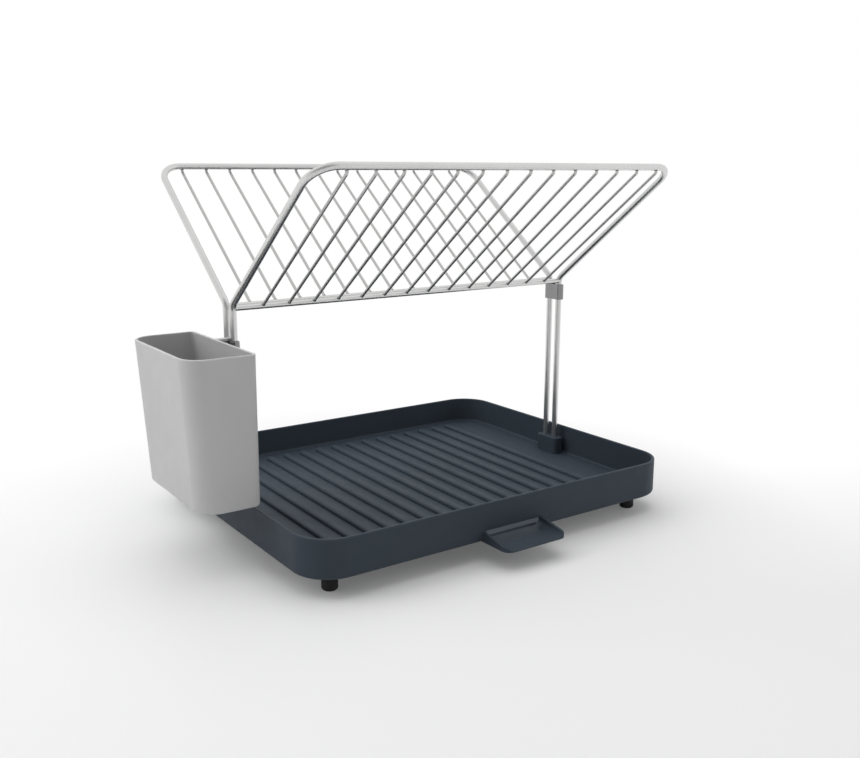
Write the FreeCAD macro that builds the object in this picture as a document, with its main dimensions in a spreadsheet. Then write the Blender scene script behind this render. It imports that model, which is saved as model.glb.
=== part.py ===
import FreeCAD, Part
import math
import os
import Sketcher
from FreeCAD import Placement, Rotation, Vector

# Two-tier dish rack: a ribbed drip tray on four rubber feet, a V-shaped rack of welded wire
# on twin posts that lift out of the tray, and a cutlery pot hung from a sleeve on the posts.
# X runs along the tray, Y from its front to its back, Z up from the counter. Millimetres.

DIMENSIONS = {
    "tray_length": 405.0,
    "tray_depth": 330.0,
    "tray_height": 35.2,
    "tray_underside": 18.0,
    "tray_corner": 35.0,
    "tray_wall": 2.8,
    "tray_edge_chamfer": 2.5,
    "rim_chamfer": 0.9,
    "floor_front": 3.0,
    "floor_back": 7.0,
    "rib_count": 16,
    "rib_pitch": 20.0,
    "rib_width": 8.0,
    "rib_height": 3.2,
    "rib_chamfer": 1.0,
    "rib_root": 1.0,
    "rib_front": 133.0,
    "rib_back": 146.0,
    "notch_width": 64.0,
    "notch_top": 9.7,
    "spout_width": 69.0,
    "spout_reach": 33.7,
    "spout_corner": 8.0,
    "spout_floor": 1.6,
    "spout_lip": 3.4,
    "channel_lead": 3.0,
    "channel_chamfer": 4.0,
    "boss_length": 32.0,
    "boss_width": 13.0,
    "boss_height": 20.0,
    "boss_corner": 2.5,
    "boss_root": 1.5,
    "foot_x": 172.7,
    "foot_y": 138.0,
    "foot_diameter": 14.0,
    "foot_pad_height": 4.0,
    "foot_pad_diameter": 16.0,
    "foot_peg_width": 5.4,
    "foot_peg_height": 3.0,
    "rod_diameter": 6.2,
    "post_x": 191.0,
    "post_y": 7.05,
    "post_foot": 22.8,
    "fork_height": 221.1,
    "fork_radius": 12.0,
    "top_rail_y": 160.0,
    "top_rail_height": 339.3,
    "corner_radius": 22.0,
    "bottom_rail_y": 8.0,
    "bottom_rail_height": 218.3,
    "bottom_rail_diameter": 5.0,
    "wire_count": 14,
    "wire_pitch": 25.37,
    "wire_shift": 2.0,
    "wire_diameter": 2.8,
    "wire_sides": 8,
    "wire_standoff": 4.4,
    "wire_setback": 3.0,
    "weld_depth": 0.1,
    "running_gap": 0.3,
    "sleeve_length": 25.0,
    "sleeve_wall": 0.9,
    "sleeve_flat": 0.4,
    "sleeve_height": 16.3,
    "right_sleeve_foot": 197.7,
    "left_sleeve_foot": 172.9,
    "pot_inner_x": 205.0,
    "pot_width": 60.0,
    "pot_depth": 138.0,
    "pot_centre_y": -17.0,
    "pot_foot": 62.0,
    "pot_rim": 191.5,
    "pot_outer_corner": 20.0,
    "pot_inner_corner": 6.0,
    "pot_taper_out": 7.0,
    "pot_taper_end": 2.0,
    "pot_wall": 2.3,
    "pot_edge_chamfer": 2.5,
    "hook_width": 7.2,
    "hook_thickness": 2.0,
    "tongue_thickness": 2.8,
    "tongue_length": 15.0,
    "web_drop": 8.0,
    "drain_slot_width": 3.6,
    "drain_slot_length": 26.0,
    "drain_slot_count": 6,
    "drain_slot_pitch": 18.0,
}

# Two places closer than this count as one, and shorter edges than SHORT are roundings' own.
TOUCH = 0.01
SHORT = 1.0
# The least share of a face's normal that points the way the face is said to look.
FACING = 0.9
# A cut that takes less than this volume has missed.
LEAST_CUT = 1.0

os.makedirs("parts", exist_ok=True)
doc = FreeCAD.newDocument("dish_rack")
sheet = doc.addObject("Spreadsheet::Sheet", "Dimensions")


def write_dimensions():
    """Fill the sheet: one driving dimension in each row, under its own alias."""
    for row, (alias, value) in enumerate(DIMENSIONS.items(), start=1):
        sheet.set(f"A{row}", alias)
        sheet.set(f"B{row}", str(value))
        sheet.setAlias(f"B{row}", alias)
    first_free = len(DIMENSIONS) + 1
    # The object's middle lies between the pot's outer side and the tray's right end,
    # and between the spout's tip and the tray's back.
    derived = {
        "centre_x": "=(pot_inner_x + pot_width - tray_length / 2) / 2",
        "centre_y": "=spout_reach / 2",
        "sleeve_thickness": "=rod_diameter + 2 * running_gap + 2 * sleeve_wall",
    }
    for row, (alias, formula) in enumerate(derived.items(), start=first_free):
        sheet.set(f"A{row}", alias)
        sheet.set(f"B{row}", formula)
        sheet.setAlias(f"B{row}", alias)
    doc.recompute()


def size(alias):
    return float(sheet.get(alias))


def point(x, y, z):
    """A point given from the tray's centre, as a place in the object's own frame."""
    return Vector(x + size("centre_x"), y + size("centre_y"), z)


def bind(item, prop, formula):
    """Tie a property to the sheet; names of cells in the formula are written in braces."""
    for alias in sorted(list(DIMENSIONS) + ["centre_x", "centre_y", "sleeve_thickness"]):
        formula = formula.replace("{" + alias + "}", "Dimensions." + alias)
    item.setExpression(prop, formula)


def new_body(label, x="{centre_x}", y="{centre_y}", z="0"):
    """A body placed by the sheet. Its label becomes the node's name."""
    body = doc.addObject("PartDesign::Body", label)
    body.Label = label
    bind(body, "Placement.Base.x", x)
    bind(body, "Placement.Base.y", y)
    bind(body, "Placement.Base.z", z)
    return body


def new_sketch(body, name, plane="XY_Plane", offset=None):
    sketch = body.newObject("Sketcher::SketchObject", name)
    support = next(f for f in body.Origin.OriginFeatures if f.Role == plane)
    sketch.AttachmentSupport = [(support, "")]
    sketch.MapMode = "FlatFace"
    if offset is not None:
        sketch.AttachmentOffset = offset
    return sketch


def add_polygon(sketch, corners):
    """Closed outline of straight edges, blocked at the given corners."""
    first = sketch.GeometryCount
    points = [Vector(u, v, 0) for u, v in corners]
    for start, end in zip(points, points[1:] + points[:1]):
        sketch.addGeometry(Part.LineSegment(start, end), False)
    count = len(points)
    for index in range(count):
        following = first + (index + 1) % count
        sketch.addConstraint(Sketcher.Constraint("Coincident", first + index, 2, following, 1))
    for index in range(count):
        sketch.addConstraint(Sketcher.Constraint("Block", first + index))


def add_cut_rectangle(sketch, half_u, half_v, cut):
    """Centred rectangle with its corners cut off, or whole where the cut is nothing."""
    if cut > 0.0:
        quarter = [(half_u, half_v - cut), (half_u - cut, half_v)]
    else:
        quarter = [(half_u, half_v)]
    left = [(-u, v) for u, v in reversed(quarter)]
    upper = quarter + left
    lower = [(u, -v) for u, v in reversed(upper)]
    add_polygon(sketch, upper + lower)


def add_rounded_rectangle(sketch, width, depth, radius):
    """Centred rounded rectangle whose width, depth and radius follow the sheet."""
    half_u = 20.0
    half_v = 15.0
    corner = 5.0
    u = half_u - corner
    v = half_v - corner
    quarter = math.pi / 2
    first = sketch.GeometryCount
    sketch.addGeometry(Part.LineSegment(Vector(-u, -half_v, 0), Vector(u, -half_v, 0)), False)
    sketch.addGeometry(Part.LineSegment(Vector(half_u, -v, 0), Vector(half_u, v, 0)), False)
    sketch.addGeometry(Part.LineSegment(Vector(u, half_v, 0), Vector(-u, half_v, 0)), False)
    sketch.addGeometry(Part.LineSegment(Vector(-half_u, v, 0), Vector(-half_u, -v, 0)), False)
    centres = [Vector(u, -v, 0), Vector(u, v, 0), Vector(-u, v, 0), Vector(-u, -v, 0)]
    for index, centre in enumerate(centres):
        start = (index - 1) * quarter
        circle = Part.Circle(centre, Vector(0, 0, 1), corner)
        sketch.addGeometry(Part.ArcOfCircle(circle, start, start + quarter), False)
    for index in range(4):
        line = first + index
        arc = first + 4 + index
        following = first + (index + 1) % 4
        sketch.addConstraint(Sketcher.Constraint("Tangent", line, 2, arc, 1))
        sketch.addConstraint(Sketcher.Constraint("Tangent", arc, 2, following, 1))
        kind = "Horizontal" if index % 2 == 0 else "Vertical"
        sketch.addConstraint(Sketcher.Constraint(kind, line))
    for index in range(5, 8):
        sketch.addConstraint(Sketcher.Constraint("Equal", first + 4, first + index))
    sketch.addConstraint(Sketcher.Constraint("Symmetric", first + 4, 3, first + 6, 3, -1, 1))
    names = {"width": width, "depth": depth, "radius": radius}
    made = [
        sketch.addConstraint(Sketcher.Constraint("DistanceX", first + 3, 1, first + 1, 1, 2 * half_u)),
        sketch.addConstraint(Sketcher.Constraint("DistanceY", first, 1, first + 2, 1, 2 * half_v)),
        sketch.addConstraint(Sketcher.Constraint("Radius", first + 4, corner)),
    ]
    for constraint, (name, formula) in zip(made, names.items()):
        full_name = f"{name}_{first}"
        sketch.renameConstraint(constraint, full_name)
        bind(sketch, "Constraints." + full_name, formula)


def add_circle(sketch, u, v, diameter):
    """Circle at a set place whose diameter follows the sheet."""
    index = sketch.addGeometry(Part.Circle(Vector(u, v, 0), Vector(0, 0, 1), 1.0), False)
    across = sketch.addConstraint(Sketcher.Constraint("Diameter", index, 2.0))
    sketch.addConstraint(Sketcher.Constraint("DistanceX", -1, 1, index, 3, u))
    sketch.addConstraint(Sketcher.Constraint("DistanceY", -1, 1, index, 3, v))
    name = f"across_{index}"
    sketch.renameConstraint(across, name)
    bind(sketch, "Constraints." + name, diameter)


def pad(body, sketch, name, length, **options):
    feature = body.newObject("PartDesign::Pad", name)
    feature.Profile = sketch
    bind(feature, "Length", length)
    for key, value in options.items():
        setattr(feature, key, value)
    doc.recompute()
    return feature


def pocket(body, sketch, name, length, **options):
    """Cut a sketch into the body, and stop if nothing comes away."""
    before = body.Shape.Volume
    feature = body.newObject("PartDesign::Pocket", name)
    feature.Profile = sketch
    bind(feature, "Length", length)
    for key, value in options.items():
        setattr(feature, key, value)
    doc.recompute()
    if body.Shape.Volume > before - LEAST_CUT:
        raise RuntimeError(f"{name} cuts nothing")
    return feature


def pick(body, kind, name, chosen):
    """The body's present last feature, with the names of the edges or faces that pass the test."""
    shape = body.Tip.Shape
    items = shape.Edges if kind == "Edge" else shape.Faces
    picked = [f"{kind}{i}" for i, item in enumerate(items, start=1) if chosen(item)]
    if not picked:
        raise RuntimeError(f"{name} finds nothing to work on")
    return (body.Tip, picked)


def round_edges(body, name, radius, chosen):
    chosen_edges = pick(body, "Edge", name, chosen)
    fillet = body.newObject("PartDesign::Fillet", name)
    fillet.Base = chosen_edges
    bind(fillet, "Radius", radius)
    doc.recompute()
    return fillet


def chamfer_edges(body, name, width, chosen):
    chosen_edges = pick(body, "Edge", name, chosen)
    chamfer = body.newObject("PartDesign::Chamfer", name)
    chamfer.Base = chosen_edges
    bind(chamfer, "Size", width)
    doc.recompute()
    return chamfer


def draft_faces(body, name, angle, chosen, neutral):
    """Lean the chosen faces inwards, hinged where they meet the neutral face."""
    chosen_faces = pick(body, "Face", name, chosen)
    neutral_face = pick(body, "Face", name, neutral)
    draft = body.newObject("PartDesign::Draft", name)
    draft.Base = chosen_faces
    draft.NeutralPlane = neutral_face
    draft.Reversed = True
    bind(draft, "Angle", angle)
    doc.recompute()
    return draft


def flat_at(z):
    """A test for edges and faces that lie level at this height."""
    return lambda item: abs(item.BoundBox.ZMin - z) < TOUCH and abs(item.BoundBox.ZMax - z) < TOUCH


def raised(alias):
    """Placement lifted by one of the sheet's heights."""
    return Placement(Vector(0, 0, size(alias)), Rotation())


def tilted(offset, angle):
    """Placement lifted by offset and turned about X, for a plane that follows the floor."""
    return Placement(offset, Rotation(Vector(1, 0, 0), math.degrees(angle)))


def build_tray():
    """Drip tray: deep rounded pan with a falling ribbed floor, post bosses and a spout."""
    tray = new_body("tray", z="{tray_underside}")
    half_depth = size("tray_depth") / 2
    fall = size("floor_back") - size("floor_front")
    slope = math.atan2(fall, size("tray_depth"))
    mid_floor = (size("floor_front") + size("floor_back")) / 2

    outline = new_sketch(tray, "tray_outline")
    add_rounded_rectangle(outline, "{tray_length}", "{tray_depth}", "{tray_corner}")
    pad(tray, outline, "tray_blank", "{tray_height}")
    chamfer_edges(tray, "tray_bottom_edge", "{tray_edge_chamfer}", flat_at(0.0))

    base_plane = next(f for f in tray.Origin.OriginFeatures if f.Role == "XY_Plane")
    floor_plane = tray.newObject("PartDesign::Plane", "floor_plane")
    floor_plane.AttachmentSupport = [(base_plane, "")]
    floor_plane.MapMode = "FlatFace"
    floor_plane.AttachmentOffset = tilted(Vector(0, 0, mid_floor), slope)
    mouth = new_sketch(tray, "cavity_mouth", offset=raised("tray_height"))
    add_rounded_rectangle(
        mouth,
        "{tray_length} - 2 * {tray_wall}",
        "{tray_depth} - 2 * {tray_wall}",
        "{tray_corner} - {tray_wall}",
    )
    pocket(tray, mouth, "cavity", "{tray_height}", Type="UpToFace", UpToFace=(floor_plane, [""]))

    ribs = new_sketch(
        tray, "rib_section", plane="XZ_Plane",
        offset=tilted(Vector(0, 0, 0), slope),
    )
    half_rib = size("rib_width") / 2
    chamfer = size("rib_chamfer")
    last_rib = (size("rib_count") - 1) / 2 * size("rib_pitch")
    rib_top = mid_floor + size("rib_height")
    rib_low = mid_floor - size("rib_root")
    add_polygon(ribs, [
        (-last_rib - half_rib, rib_low),
        (-last_rib + half_rib, rib_low),
        (-last_rib + half_rib, rib_top - chamfer),
        (-last_rib + half_rib - chamfer, rib_top),
        (-last_rib - half_rib + chamfer, rib_top),
        (-last_rib - half_rib, rib_top - chamfer),
    ])
    rib = pad(tray, ribs, "rib", "{rib_front}", SideType="Two sides")
    bind(rib, "Length2", "{rib_back}")
    doc.recompute()
    row = tray.newObject("PartDesign::LinearPattern", "rib_row")
    row.Originals = [rib]
    x_axis = next(f for f in tray.Origin.OriginFeatures if f.Role == "X_Axis")
    row.Direction = (x_axis, [""])
    bind(row, "Length", "{rib_pitch} * ({rib_count} - 1)")
    bind(row, "Occurrences", "{rib_count}")
    tray.Tip = row
    doc.recompute()

    for side, sign in (("left", -1), ("right", 1)):
        block = new_sketch(
            tray, f"{side}_boss_outline",
            offset=Placement(Vector(sign * size("post_x"), 0, mid_floor - size("boss_root")), Rotation()),
        )
        add_cut_rectangle(block, size("boss_width") / 2, size("boss_length") / 2, size("boss_corner"))
        pad(tray, block, f"{side}_boss", "{boss_height}")
        bores = new_sketch(
            tray, f"{side}_boss_bores",
            offset=Placement(Vector(sign * size("post_x"), 0, size("tray_height")), Rotation()),
        )
        for y in (-size("post_y"), size("post_y")):
            add_circle(bores, 0.0, y, "{rod_diameter} + 2 * {running_gap}")
        pocket(
            tray, bores, f"{side}_post_bores",
            "{tray_underside} + {tray_height} - {post_foot} + {running_gap}",
        )

    spout = new_sketch(tray, "spout_side", plane="YZ_Plane")
    root = -half_depth + size("tray_wall")
    tip = -half_depth - size("spout_reach")
    add_polygon(spout, [
        (root, 0.0),
        (tip, 0.0),
        (tip, size("spout_lip")),
        (-half_depth, size("notch_top")),
        (root, size("notch_top")),
    ])
    pad(tray, spout, "spout_block", "{spout_width}", SideType="Symmetric")
    round_edges(
        tray, "spout_front_corners", "{spout_corner}",
        lambda edge: all(abs(v.Point.y - tip) < TOUCH for v in edge.Vertexes)
        and abs(edge.Vertexes[0].Point.z - edge.Vertexes[-1].Point.z) > SHORT,
    )
    channel_start = half_depth - size("tray_wall") - size("channel_lead")
    channel = new_sketch(
        tray, "spout_channel", plane="XZ_Plane",
        offset=tilted(Vector(0, 0, channel_start), slope),
    )
    half_notch = size("notch_width") / 2
    channel_bed = size("spout_floor")
    slant = size("channel_chamfer")
    add_polygon(channel, [
        (-half_notch + slant, channel_bed),
        (half_notch - slant, channel_bed),
        (half_notch, channel_bed + slant),
        (half_notch, size("notch_top")),
        (-half_notch, size("notch_top")),
        (-half_notch, channel_bed + slant),
    ])
    pocket(
        tray, channel, "spout_cut",
        "{channel_lead} + {tray_wall} + {spout_reach} + {spout_corner}", Reversed=True,
    )

    half_peg = size("foot_peg_width") / 2
    for y_sign in (-1, 1):
        for x_sign in (-1, 1):
            corner = f"{'front' if y_sign < 0 else 'back'}_{'left' if x_sign < 0 else 'right'}"
            x = x_sign * size("foot_x")
            y = y_sign * size("foot_y")
            disc = new_sketch(tray, f"{corner}_pad_outline", offset=Placement(Vector(x, y, 0), Rotation()))
            add_circle(disc, 0.0, 0.0, "{foot_pad_diameter}")
            pad(tray, disc, f"{corner}_pad", "{foot_pad_height}", Reversed=True)
            low = Vector(x, y, -size("foot_pad_height"))
            hole = new_sketch(tray, f"{corner}_peg_hole_outline", offset=Placement(low, Rotation()))
            add_cut_rectangle(hole, half_peg, half_peg, 0.0)
            pocket(tray, hole, f"{corner}_peg_hole", "{foot_peg_height}", Reversed=True)

    chamfer_edges(tray, "rim_edges", "{rim_chamfer}", flat_at(size("tray_height")))


def build_foot(label, x, y):
    """Rubber foot: a disc with a square peg pressed up into the tray's foot pad."""
    foot = new_body(label, "{centre_x} + " + x, "{centre_y} + " + y)
    outline = new_sketch(foot, label + "_outline")
    add_circle(outline, 0.0, 0.0, "{foot_diameter}")
    pad(foot, outline, label + "_disc", "{tray_underside} - {foot_pad_height}")
    top = size("tray_underside") - size("foot_pad_height")
    peg = new_sketch(foot, label + "_peg_outline", offset=Placement(Vector(0, 0, top), Rotation()))
    half_peg = size("foot_peg_width") / 2
    add_cut_rectangle(peg, half_peg, half_peg, 0.0)
    pad(foot, peg, label + "_peg", "{foot_peg_height}")


def build_sleeve(label, side, foot):
    """Steel band that wraps both rods of one post and slides on them."""
    sleeve = new_body(label, "{centre_x} " + side + " {post_x}", z=foot)
    outer = new_sketch(sleeve, label + "_outline")
    add_rounded_rectangle(
        outer, "{sleeve_thickness}", "{sleeve_length}", "({sleeve_thickness} - {sleeve_flat}) / 2",
    )
    pad(sleeve, outer, label + "_block", "{sleeve_height}")
    inner = new_sketch(sleeve, label + "_bore", offset=raised("sleeve_height"))
    add_rounded_rectangle(
        inner, "{sleeve_thickness} - 2 * {sleeve_wall}", "{sleeve_length} - 2 * {sleeve_wall}",
        "({sleeve_thickness} - {sleeve_flat}) / 2 - {sleeve_wall}",
    )
    pocket(sleeve, inner, label + "_opening", "{sleeve_height}")


def build_pot():
    """Cutlery pot: tapered thin-walled pot with drain slots and a hook for the left sleeve."""
    pot = new_body(
        "cutlery_pot", "{centre_x} - {pot_inner_x} - {pot_width} / 2", "{centre_y} + {pot_centre_y}",
        "{pot_foot}",
    )
    height = size("pot_rim") - size("pot_foot")
    rim = new_sketch(pot, "pot_rim_outline", offset=Placement(Vector(0, 0, height), Rotation()))
    half_width = size("pot_width") / 2
    half_depth = size("pot_depth") / 2
    add_polygon(rim, [
        (-half_width, -half_depth), (half_width, -half_depth),
        (half_width, half_depth), (-half_width, half_depth),
    ])
    pad(pot, rim, "pot_blank", "{pot_rim} - {pot_foot}", Reversed=True)
    draft_faces(
        pot, "end_draft", "atan({pot_taper_end} / ({pot_rim} - {pot_foot}))",
        lambda face: abs(face.normalAt(0, 0).y) > FACING, flat_at(height),
    )
    draft_faces(
        pot, "outer_draft", "atan({pot_taper_out} / ({pot_rim} - {pot_foot}))",
        lambda face: face.normalAt(0, 0).x < -FACING, flat_at(height),
    )
    # The outer corners are well rounded; the inner ones, beside the tray's end, are tighter.
    for name, side in (("outer", -1), ("inner", 1)):
        round_edges(
            pot, f"pot_{name}_corners", "{pot_" + name + "_corner}",
            lambda edge: edge.BoundBox.ZLength > height - TOUCH and side * edge.CenterOfMass.x > 0,
        )
    open_top = pick(pot, "Face", "pot_shell", flat_at(height))
    shell = pot.newObject("PartDesign::Thickness", "pot_shell")
    shell.Base = open_top
    shell.Reversed = True
    bind(shell, "Value", "{pot_wall}")
    doc.recompute()
    chamfer_edges(pot, "pot_foot_edge", "{pot_edge_chamfer}", flat_at(0.0))

    slots = new_sketch(pot, "drain_slot_outline", offset=raised("pot_wall"))
    middle = size("pot_taper_out") / 2
    half_long = size("drain_slot_length") / 2
    half_wide = size("drain_slot_width") / 2
    start = -(size("drain_slot_count") - 1) / 2 * size("drain_slot_pitch")
    add_polygon(slots, [
        (middle - half_long, start - half_wide),
        (middle + half_long, start - half_wide),
        (middle + half_long, start + half_wide),
        (middle - half_long, start + half_wide),
    ])
    slot = pocket(pot, slots, "drain_slot", "2 * {pot_wall}")
    row = pot.newObject("PartDesign::LinearPattern", "drain_slots")
    row.Originals = [slot]
    y_axis = next(f for f in pot.Origin.OriginFeatures if f.Role == "Y_Axis")
    row.Direction = (y_axis, [""])
    bind(row, "Length", "{drain_slot_pitch} * ({drain_slot_count} - 1)")
    bind(row, "Occurrences", "{drain_slot_count}")
    pot.Tip = row
    doc.recompute()

    # The hook: a bridge from the rim over the sleeve's edge, a tongue down inside the sleeve
    # between the two rods, and a web that stiffens the bridge and bears on the sleeve.
    gap = size("running_gap")
    wall_face = size("pot_width") / 2
    sleeve_face = wall_face + size("pot_inner_x") - size("post_x") - size("sleeve_thickness") / 2
    tongue_face = sleeve_face + size("sleeve_wall") + gap
    tongue_back = tongue_face + size("tongue_thickness")
    bridge_low = height - size("hook_thickness")
    hook = new_sketch(
        pot, "hook_side", plane="XZ_Plane",
        offset=Placement(Vector(0, 0, size("pot_centre_y")), Rotation()),
    )
    web_foot = bridge_low - size("tongue_length") - size("web_drop")
    add_polygon(hook, [
        (wall_face - size("pot_wall") / 2, height),
        (wall_face - size("pot_wall") / 2, web_foot),
        (wall_face, web_foot),
        (sleeve_face - gap, bridge_low - size("tongue_length")),
        (sleeve_face - gap, bridge_low),
        (tongue_face, bridge_low),
        (tongue_face, bridge_low - size("tongue_length")),
        (tongue_back, bridge_low - size("tongue_length")),
        (tongue_back, height),
    ])
    pad(pot, hook, "hook", "{hook_width}", SideType="Symmetric")


def bent_path(corners, radii):
    """Straight runs through the corners, joined by tangent arcs of the given radii."""
    edges = []
    start = corners[0]
    for before, corner, after, radius in zip(corners, corners[1:], corners[2:], radii):
        into = (corner - before).normalize()
        out = (after - corner).normalize()
        turn = into.getAngle(out)
        setback = radius * math.tan(turn / 2)
        inward = (out - into).normalize()
        centre = corner + inward * (radius / math.cos(turn / 2))
        first = corner - into * setback
        last = corner + out * setback
        edges.append(Part.LineSegment(start, first).toShape())
        edges.append(Part.Arc(first, centre - inward * radius, last).toShape())
        start = last
    edges.append(Part.LineSegment(start, corners[-1]).toShape())
    return Part.Wire(edges)


def swept(label, route, section, heading, **options):
    """Bar with the given section, swept along the route from its first point."""
    path = doc.addObject("Part::Feature", label + "_path")
    path.Shape = route
    section.Placement = Placement(route.OrderedVertexes[0].Point, Rotation(Vector(0, 0, 1), heading))
    bar = doc.addObject("Part::Sweep", label)
    bar.Sections = [section]
    bar.Spine = (path, [f"Edge{i}" for i in range(1, len(route.Edges) + 1)])
    bar.Solid = True
    bar.Frenet = False
    bar.Label = label
    for key, value in options.items():
        setattr(bar, key, value)


def build_frame(label, side):
    """One bent rod: up a post, out along an end, along the top rail and down again."""
    post_x = size("post_x")
    post_y = side * size("post_y")
    rail_y = side * size("top_rail_y")
    foot = size("post_foot")
    fork = size("fork_height")
    rail = size("top_rail_height")
    corners = [
        point(-post_x, post_y, foot),
        point(-post_x, post_y, fork),
        point(-post_x, rail_y, rail),
        point(post_x, rail_y, rail),
        point(post_x, post_y, fork),
        point(post_x, post_y, foot),
    ]
    fork_radius = size("fork_radius")
    corner_radius = size("corner_radius")
    route = bent_path(corners, [fork_radius, corner_radius, corner_radius, fork_radius])
    section = doc.addObject("Part::Circle", label + "_section")
    bind(section, "Radius", "{rod_diameter} / 2")
    swept(label, route, section, Vector(0, 0, 1))


def build_bottom_rail(label, side):
    """Straight bar welded between the two ends of a frame where they fork."""
    rail = doc.addObject("Part::Cylinder", label)
    rail.Label = label
    bind(rail, "Radius", "{bottom_rail_diameter} / 2")
    bind(rail, "Height", "2 * ({post_x} - {rod_diameter} / 2 + {weld_depth})")
    start = -size("post_x") + size("rod_diameter") / 2 - size("weld_depth")
    where = point(start, side * size("bottom_rail_y"), size("bottom_rail_height"))
    rail.Placement = Placement(where, Rotation(Vector(0, 1, 0), 90))


def build_wires(prefix, side):
    """Row of wires from the bottom rail up the outside of the panel, turned in under the top rail.

    The panels are alike and the row sits a little off centre, so the back one, turned end for
    end, has its wires shifted the other way.
    """
    low = Vector(0, side * size("bottom_rail_y"), size("bottom_rail_height"))
    high = Vector(0, side * size("top_rail_y"), size("top_rail_height"))
    along = (high - low).normalize()
    outward = Vector(0, side * along.z, -abs(along.y))
    knee = high + outward * size("wire_standoff") - along * size("wire_setback")
    run = (knee - low).normalize()
    start = low + run * (size("bottom_rail_diameter") / 2 - size("weld_depth"))
    end = high + (knee - high).normalize() * (size("rod_diameter") / 2 - size("weld_depth"))
    labels = []
    for index in range(int(size("wire_count"))):
        x = (index - (size("wire_count") - 1) / 2) * size("wire_pitch") - side * size("wire_shift")
        label = f"{prefix}_wire_{index + 1:02d}"
        route = Part.makePolygon([point(x, p.y, p.z) for p in (start, knee, end)])
        section = doc.addObject("Part::RegularPolygon", label + "_section")
        bind(section, "Polygon", "{wire_sides}")
        bind(section, "Circumradius", "{wire_diameter} / 2 / cos(180 / {wire_sides})")
        swept(label, route, section, run, Transition="Right corner")
        labels.append(label)
    return labels


write_dimensions()
build_tray()
for end, x in (("left", "(-1) * {foot_x}"), ("right", "{foot_x}")):
    build_foot(f"front_{end}_foot", x, "(-1) * {foot_y}")
    build_foot(f"back_{end}_foot", x, "{foot_y}")
build_sleeve("right_sleeve", "+", "{right_sleeve_foot}")
build_sleeve("left_sleeve", "-", "{left_sleeve_foot}")
build_pot()
wires = []
for prefix, side in (("front", -1), ("back", 1)):
    build_frame(f"{prefix}_frame", side)
    build_bottom_rail(f"{prefix}_bottom_rail", side)
    wires += build_wires(prefix, side)
doc.recompute()

NODES = [
    "tray", "front_left_foot", "front_right_foot", "back_left_foot", "back_right_foot",
    "right_sleeve", "left_sleeve", "cutlery_pot",
    "front_frame", "back_frame", "front_bottom_rail", "back_bottom_rail",
] + wires

for item in doc.Objects:
    if "Invalid" in item.State or "Error" in item.State:
        raise RuntimeError(f"{item.Label} did not build: {item.State}")
for node in NODES:
    shape = doc.getObjectsByLabel(node)[0].Shape
    if shape.isNull() or not shape.isValid() or len(shape.Solids) != 1:
        raise RuntimeError(f"{node} is not one sound solid")
    shape.exportStep(f"parts/{node}.step")
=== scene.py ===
import math

import bmesh
import bpy
from bpy.props import FloatProperty, FloatVectorProperty, IntProperty, PointerProperty
from mathutils import Matrix, Vector


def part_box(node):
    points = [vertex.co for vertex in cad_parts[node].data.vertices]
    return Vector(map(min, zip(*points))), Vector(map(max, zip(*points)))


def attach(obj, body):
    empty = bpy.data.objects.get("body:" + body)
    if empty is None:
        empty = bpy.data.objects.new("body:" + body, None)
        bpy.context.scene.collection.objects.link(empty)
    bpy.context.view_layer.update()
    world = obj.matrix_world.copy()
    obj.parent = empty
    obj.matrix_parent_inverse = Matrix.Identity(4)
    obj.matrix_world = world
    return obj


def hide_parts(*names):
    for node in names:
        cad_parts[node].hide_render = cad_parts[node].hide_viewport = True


bl_info = {
    "name": "Two-tier dish rack",
    "version": (1, 0, 0),
    "blender": (4, 5, 0),
    "location": "View3D > Sidebar > Dish Rack",
    "description": "Builds the tray, welded rack, sleeves and cutlery pot of a dish rack",
    "category": "Add Mesh",
}

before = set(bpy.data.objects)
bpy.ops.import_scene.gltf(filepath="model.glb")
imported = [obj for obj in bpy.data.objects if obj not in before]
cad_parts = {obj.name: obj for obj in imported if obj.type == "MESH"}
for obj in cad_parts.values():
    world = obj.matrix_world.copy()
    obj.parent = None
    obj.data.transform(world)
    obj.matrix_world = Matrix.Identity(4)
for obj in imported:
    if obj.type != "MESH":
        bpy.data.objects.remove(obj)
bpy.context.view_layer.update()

MM = 0.001
TRAY_LOW, TRAY_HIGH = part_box("tray")
FRONT_LOW, FRONT_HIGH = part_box("front_frame")
BACK_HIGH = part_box("back_frame")[1]
FOOT_LOW, FOOT_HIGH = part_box("front_left_foot")
POT_LOW, POT_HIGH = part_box("cutlery_pot")
FEET = ("front_left_foot", "front_right_foot", "back_left_foot", "back_right_foot")
MIDDLE_X = (TRAY_LOW.x + TRAY_HIGH.x) / 2
MIDDLE_Y = (FRONT_LOW.y + BACK_HIGH.y) / 2
Z_AXIS = Vector((0, 0, 1))
# How far a post's two rods stand in front of and behind the middle.
POST_Y = 7.05 * MM
# Clearance round a rod in a bore, and between the hook and the sleeve.
RUNNING_GAP = 0.3 * MM
# Welded ends sink this far into their rail.
WELD_DEPTH = 0.1 * MM
# Places this near to a height are level with it, and this near to a surface lie on it.
LEVEL_REACH = 0.2 * MM
SURFACE_REACH = 0.1 * MM
# Places closer than this count as one.
TOUCH = 1e-6
# A face or an edge points a way when at least this share of it does.
FACING = 0.9
# Noise lies mostly between these values.
NOISE_LOW, NOISE_HIGH = 0.3, 0.7
WHITE = (1.0, 1.0, 1.0, 1.0)
# Where the camera stands from the object's middle, and the level direction it looks in.
EYE = Vector((-524.0, -783.6, 336.8)) * MM
AHEAD = (0.573, 0.8195, 0.0)
# Steel sees a darker end of the room in this direction.
DARK_END = (-0.56, -0.80, 0.21)
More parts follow.
